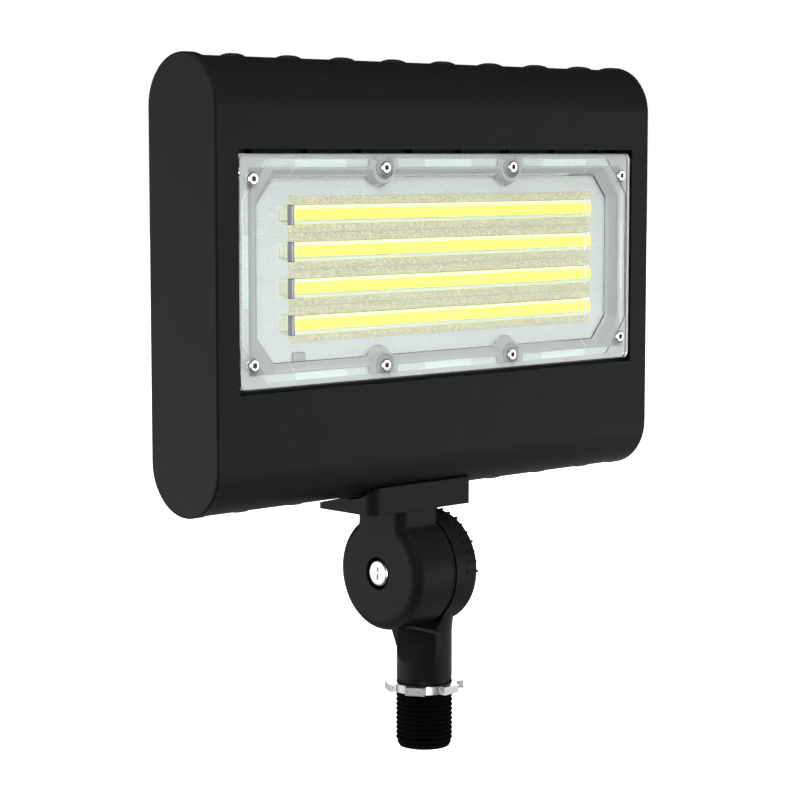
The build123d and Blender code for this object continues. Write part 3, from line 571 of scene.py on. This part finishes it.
def ledBoardMaterial(values):
    # Aluminium board under white solder mask: bright strips along the LED rows, khaki stippled bands
    # between them, and the faint relief of copper traces.
    material, tree, output = newMaterial("white solder mask on aluminium board")
    place, (x, y, z) = headPlace(tree)
    offset = fromNearestRow(tree, z)
    rows = bandMask(tree, compute(tree, "ABSOLUTE", z), -1.0, rowPitch * rowCount / 2, 0.1)
    field = both(tree, rows, bandMask(tree, x, *values["bands"], 0.15))
    speck = addNode(tree, "TexVoronoi", {"Vector": place, "Scale": values["speckle"]}, feature="F1")
    chance = addNode(tree, "SeparateColor", {0: speck.outputs["Color"]})
    cloud = noise(tree, place, values["cloudScale"], 3.0)
    dark, plain, pale = values["chips"]
    khaki = tint(tree, dark, plain, remap(tree, chance.outputs[0], (0.15, 0.45)))
    khaki = tint(tree, khaki, pale, remap(tree, chance.outputs[0], (0.55, 0.9)))
    traces = remap(tree, compute(tree, "ADD", cloud, chance.outputs[1]), (0.6, 1.4))
    colour = tint(tree, values["mask"], values["trace"], traces)
    strip = bandMask(tree, offset, -1.0, values["rowHalf"])
    pads = both(tree, rows, bandMask(tree, x, values["padsLeft"], values["bands"][0]))
    layers = [
        (khaki, field, bandMask(tree, offset, values["rowHalf"], values["past"])),
        (values["line"], field, bandMask(tree, offset, values["lineFrom"], values["past"])),
        (values["bar"], field, strip),
        (values["barEnd"], pads, strip),
    ]
    for over, zone, band in layers:
        colour = tint(tree, colour, over, both(tree, zone, band))
    grain = addNode(tree, "Bump", {"Height": cloud, "Distance": values["relief"] * mm})
    shader = addNode(tree, "BsdfPrincipled", {"Base Color": colour, "Normal": grain.outputs[0]})
    finishMaterial(tree, output, shader, Roughness=0.45, IOR=1.5)
    return material


paint = powderCoat(powderValues)
slotMaterials = {
    "black_paint": paint,
    "zinc": zincPlate("bright zinc plate", zincValues),
    "lens_plastic": lensPolycarbonate(lensValues),
}
# slot, material, darker and paler tone, roughness, grain in millimetres, grain's depth in millimetres
plainSlots = [
    ("black_rubber", "moulded black rubber", "#101010", "#181818", 0.8, 0.4, 0.02),
    ("grey_silicone", "die-cut grey silicone", "#8E9092", "#A2A4A6", 0.6, 0.3, 0.01),
    ("board_white", "white solder mask", "#DADAD6", "#E6E6E2", 0.35, 0.5, 0.01),
    ("phosphor", "yellow phosphor", "#FBEA4A", "#FFF36A", 0.3, 0.3, 0.01),
    ("board_green", "green glass-epoxy board", "#0F5A2A", "#17703A", 0.35, 0.5, 0.02),
    ("dark_plastic", "moulded black nylon", "#1A1A1C", "#222224", 0.55, 0.3, 0.02),
    ("can_aluminium", "drawn aluminium can", "#B8BCC0", "#CDD0D3", 0.3, 0.3, 0.005),
    ("red_insulation", "red silicone insulation", "#A31712", "#B8221B", 0.5, 0.3, 0.01),
    ("black_insulation", "black silicone insulation", "#141414", "#1C1C1C", 0.5, 0.3, 0.01),
]
for slot, *looks in plainSlots:
    slotMaterials[slot] = plainPlastic(*looks)
for part in frame["record"]["subparts"]:
    dress([part["node"]], slotMaterials[part["material_slot"]])
for name, zones in shadeAndThreadZones.items():
    dress([name], powderWithShadeAndThread(paint, name.replace("_", " "), zones, shadeAndThreadValues))
dress(["led_board"], ledBoardMaterial(boardValues))
dress(["led_terminal"], plainPlastic("grey moulded terminal", "#8C8E8D", "#9A9C9B", 0.5, 0.3, 0.01))
# The base gasket is drawn near-black with little shine: painted shade in the joint under the housing.
dress(["base_gasket"], plainPlastic("black gasket rubber, painted shade", "#030303", "#060606", 0.9, 0.3, 0.01, 0.1))
# The washer is drawn near-black.
dress(["pivot_washer"], plainPlastic("near-black washer", "#0B0B0B", "#141414", 0.5, 0.3, 0.01))
dress(["lens_screws"], zincWithPaintedSocketShade(zincValues, socketShadeValues))
print("materials assigned")


def stackLoops(loops, closed):
    # Quads between neighbouring loops of points, each loop joined round. If closed, the last loop joins
    # the first.
    count, around = loops.shape[:2]
    rows = count if closed else count - 1
    i = np.arange(rows)[:, None]
    j = np.arange(around)[None, :]
    k = (i + 1) % count
    n = (j + 1) % around
    return np.stack([i * around + j, i * around + n, k * around + n, k * around + j], -1)


def addPiece(name, points, faces, materials, faceMaterials, body, stands):
    # A mesh from points in millimetres and quads or polygons, riding on its body.
    mesh = bpy.data.meshes.new(name)
    mesh.from_pydata((points * mm).tolist(), [], faces)
    for material in materials:
        mesh.materials.append(material)
    mesh.polygons.foreach_set("material_index", faceMaterials)
    mesh.validate()
    mesh.update()
    piece = bpy.data.objects.new(name, mesh)
    scene.collection.objects.link(piece)
    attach(piece, body)
    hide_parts(*stands)
    return piece


# One LED package, in millimetres: where the row begins, half the package's depth, how much longer it is
# than deep, and its section from the board to the phosphor window's middle. The first is a pale chip.
ledValues = {
    "pitch": 4.22,
    "count": 38,
    "left": -78.0,
    "half": 2.0,
    "longer": 0.05,
    "pale": 1,
    "boardY": -11.95,
    "height": 0.65,
    "shoulder": 0.08,
    "bevel": 0.06,
    "phosphorRim": 0.05,
    "windowStep": 0.05,
    "sink": 0.08,
    "crown": (0.45, 0.7),
    "cut": 0.22,
    "gel": ("#F4EA4E", "#FAF362"),
    "cloudScale": 1.2,
    "glow": 0.14,
}


def phosphorGel(values):
    # Yellow phosphor in clear silicone, with a faint glow of its own colour painted in to brighten it.
    material, tree, output = newMaterial("yellow phosphor gel")
    place, axes = objectPlace(tree)
    colour = tint(tree, *values["gel"], noise(tree, place, values["cloudScale"], 3.0))
    shader = addNode(tree, "BsdfPrincipled", {"Base Color": colour, "Emission Color": colour})
    finishMaterial(tree, output, shader, Roughness=0.35, IOR=1.41, Emission_Strength=values["glow"])
    return material


def makeLedRow(row, values, body, gel, chip):
    # One LED row: square loops with cut corners, stepped from the board up the body, over its rim and
    # into a shallow phosphor window, repeated along the row by adding the pitch.
    half = values["half"]
    top = values["boardY"] - values["height"]
    window = half - values["phosphorRim"]
    crownShare, crownRise = values["crown"]
    steps = np.array([
        (half, values["boardY"]),
        (half, top + values["shoulder"]),
        (half - values["bevel"], top),
        (window, top),
        (window - values["windowStep"], top + values["sink"]),
        (half * crownShare, top + values["sink"] * crownRise),
    ])
    # Each corner's point: which way it stands in x and z, and which way the cut moves it in x and z.
    signs = np.array([
        (-1, -1, 1, 0), (1, -1, -1, 0), (1, -1, 0, 1), (1, 1, 0, -1),
        (1, 1, -1, 0), (-1, 1, 1, 0), (-1, 1, 0, -1), (-1, -1, 0, 1),
    ], float)
    around = len(signs)
    reach = steps[:, :1]
    x = signs[None, :, 0] * (reach + values["longer"]) + signs[None, :, 2] * values["cut"]
    z = signs[None, :, 1] * reach + signs[None, :, 3] * values["cut"]
    unit = np.stack([x, np.repeat(steps[:, 1:], around, axis=1), z], -1)
    index = np.arange(values["count"])
    middleX = headX + values["left"] + half + index * values["pitch"]
    middleZ = windowZ + ((rowCount - 1) / 2 - row) * rowPitch
    shift = np.stack([middleX, np.zeros_like(middleX), np.full_like(middleX, middleZ)], -1)
    points = (unit.reshape(1, -1, 3) + shift[:, None, :]).reshape(-1, 3)
    first = index[:, None, None] * len(steps) * around
    quads = (stackLoops(unit, False).reshape(-1, 4)[None] + first).reshape(-1, 4)
    lids = np.arange(around)[None] + (len(steps) - 1) * around + first[:, :, 0]
    # The two innermost strips and the lid are gel, the others the body; the first packages are all chip.
    strips = np.repeat([0, 0, 0, 1, 1], around)
    lit = index >= values["pale"]
    marks = np.concatenate([np.where(lit[:, None], strips[None], 2).ravel(), np.where(lit, 1, 2)])
    name = f"ledPackages{row + 1}"
    faces = quads.tolist() + lids.tolist()
    addPiece(name, points, faces, [body, gel, chip], marks, "head", [f"led_row_{row + 1}"])


gel = phosphorGel(ledValues)
ledBody = plainPlastic("yellow-white moulded LED body", "#DEDC8E", "#E6E49A", 0.4, 0.2, 0.005)
ledChip = plainPlastic("pale resistor chip", "#BFC4A8", "#CDD1B8", 0.5, 0.2, 0.005)
for row in range(rowCount):
    makeLedRow(row, ledValues, ledBody, gel, ledChip)
print("LED packages made")


gasketValues = {
    "screwX": 32.6,
    "screwZ": 35.15,
    "plainArc": 4.0,
    # half width, half height, corner cut across, corner cut down, radius round the middle screws, depth
    "profile": [
        (99.38, 39.88, 1.5, 1.5, 0.0, -14.12),
        (99.38, 39.88, 1.5, 1.5, 0.0, -14.86),
        (97.75, 38.15, 11.0, 13.6, 4.1, -14.86),
        (91.6, 33.8, 8.2, 10.0, 4.75, -14.86),
        (90.95, 33.45, 8.2, 9.85, 4.72, -14.09),
        (90.93, 33.43, 8.2, 9.85, 4.7, -12.02),
        (90.99, 33.49, 8.2, 9.85, 4.62, -12.02),
        (90.99, 33.49, 8.2, 9.85, 4.62, -14.12),
    ],
    # points along an end run, a screw's arc and the middle run, and along a corner cut and a short side
    "longSamples": (25, 25, 33),
    "shortSamples": (9, 33),
}
gasketLooks = {
    "outer": "#A7AAA9",
    "inner": "#BCC2BF",
    "shelf": "#A6ABA9",
    "wall": "#C2C6C4",
    "block": "#CBD5D1",
    "shelfHalf": (93.5, 35.2),
    "stepHalf": (97.75, 38.15),
    "stepCut": (11.0, 13.6),
    "wallFrom": -14.8,
    "blockX": (-61.5, 0.8, 63.5),
    "blockHalf": 12.0,
    "blockZ": (35.0, 38.0),
    "sideBlock": ((93.4, 97.2), (-1.0, 12.4)),
    "cloudScale": 0.8,
    "relief": 0.03,
}


def gasketSilicone(looks):
    # Pale silicone: greyer round the flange, pale inside the step, with paler pads between the screws.
    material, tree, output = newMaterial("pale moulded silicone")
    place, (x, y, z) = headPlace(tree)
    acrossX = compute(tree, "ABSOLUTE", x)
    acrossZ = compute(tree, "ABSOLUTE", z)
    stepX, stepZ = looks["stepHalf"]
    cutX, cutZ = looks["stepCut"]
    inside = both(tree, bandMask(tree, acrossX, -1.0, stepX), bandMask(tree, acrossZ, -1.0, stepZ))
    # A corner's cut is the line where x over the cut's width and z over its height add up to the limit.
    shares = compute(tree, "ADD", compute(tree, "MULTIPLY", acrossX, 1 / cutX),
                     compute(tree, "MULTIPLY", acrossZ, 1 / cutZ))
    limit = stepX / cutX + stepZ / cutZ - 1.0
    inside = both(tree, inside, bandMask(tree, shares, -1.0, limit, 0.01))
    colour = tint(tree, looks["outer"], looks["inner"], inside)
    edges = bandMask(tree, acrossZ, *looks["blockZ"])
    for middle in looks["blockX"]:
        span = bandMask(tree, x, middle - looks["blockHalf"], middle + looks["blockHalf"])
        colour = tint(tree, colour, looks["block"], both(tree, edges, span))
    sideX, sideZ = looks["sideBlock"]
    sides = both(tree, bandMask(tree, acrossX, *sideX), bandMask(tree, acrossZ, *sideZ))
    colour = tint(tree, colour, looks["block"], sides)
    shelfX, shelfZ = looks["shelfHalf"]
    shelf = both(tree, bandMask(tree, acrossX, -1.0, shelfX), bandMask(tree, acrossZ, -1.0, shelfZ))
    colour = tint(tree, colour, looks["shelf"], shelf)
    colour = tint(tree, colour, looks["wall"], bandMask(tree, y, looks["wallFrom"], 0.0, 0.02))
    cloud = noise(tree, place, looks["cloudScale"], 3.0)
    grain = addNode(tree, "Bump", {"Height": cloud, "Distance": looks["relief"] * mm})
    shader = addNode(tree, "BsdfPrincipled", {"Base Color": colour, "Normal": grain.outputs[0]})
    finishMaterial(tree, output, shader, Roughness=0.6, IOR=1.41)
    return material


def longSide(halfX, halfZ, cutX, lobe, values):
    # The lower long side: straight runs between arcs round the two middle screws, each with its own share
    # of points, so that every loop's arcs fall beside each other. A lobe of 0 runs straight on.
    screwX, screwZ = values["screwX"], values["screwZ"]
    end, arc, middle = values["longSamples"]
    t = np.linspace(-1.0, 1.0, arc)
    if lobe:
        rise = halfZ - screwZ
        chord = math.sqrt(max(lobe ** 2 - rise ** 2, 0.0))
        turn = math.pi / 2 + math.asin(rise / lobe)
        swing = np.stack([lobe * np.sin(turn * t), lobe * np.cos(turn * t) - screwZ], -1)
    else:
        chord = values["plainArc"]
        swing = np.stack([chord * t, np.full(arc, -halfZ)], -1)
    runs = [
        np.linspace(-halfX + cutX, -screwX - chord, end)[:-1],
        np.linspace(-screwX + chord, screwX - chord, middle)[1:-1],
        np.linspace(screwX + chord, halfX - cutX, end)[1:-1],
    ]
    flat = [np.stack([run, np.full_like(run, -halfZ)], -1) for run in runs]
    arcs = [swing + (side * screwX, 0.0) for side in (-1, 1)]
    return np.concatenate([flat[0], arcs[0], flat[1], arcs[1], flat[2]])


def cutCornerLoop(halfX, halfZ, cutX, cutZ, lobe, values):
    # A rectangle with cut corners, walked round from its lower left. The second half is the first turned
    # half round.
    short, tall = values["shortSamples"]
    low, high = halfX - cutX, halfZ - cutZ
    corners = np.array([(low, -halfZ), (halfX, -high), (halfX, high), (low, halfZ)])
    sides = [
        corners[k] + (corners[k + 1] - corners[k]) * np.linspace(0.0, 1.0, share)[:-1, None]
        for k, share in enumerate((short, tall, short))
    ]
    halfRound = np.concatenate([longSide(halfX, halfZ, cutX, lobe, values)] + sides)
    return np.concatenate([halfRound, -halfRound])


def makeGasket(values, silicone):
    # The silicone frame under the lens: the loops above joined into one closed ring, its lip lining the
    # pocket.
    loops = []
    for halfX, halfZ, cutX, cutZ, lobe, depth in values["profile"]:
        flat = cutCornerLoop(halfX, halfZ, cutX, cutZ, lobe, values)
        loops.append(np.stack([flat[:, 0] + headX, np.full(len(flat), depth), flat[:, 1] + windowZ], -1))
    loops = np.array(loops)
    faces = stackLoops(loops, True).reshape(-1, 4)
    marks = np.zeros(len(faces), int)
    addPiece(
        "lensGasketFrame", loops.reshape(-1, 3), faces.tolist(), [silicone],
        marks, "head", ["lens_gasket"],
    )


makeGasket(gasketValues, gasketSilicone(gasketLooks))
print("gasket made")
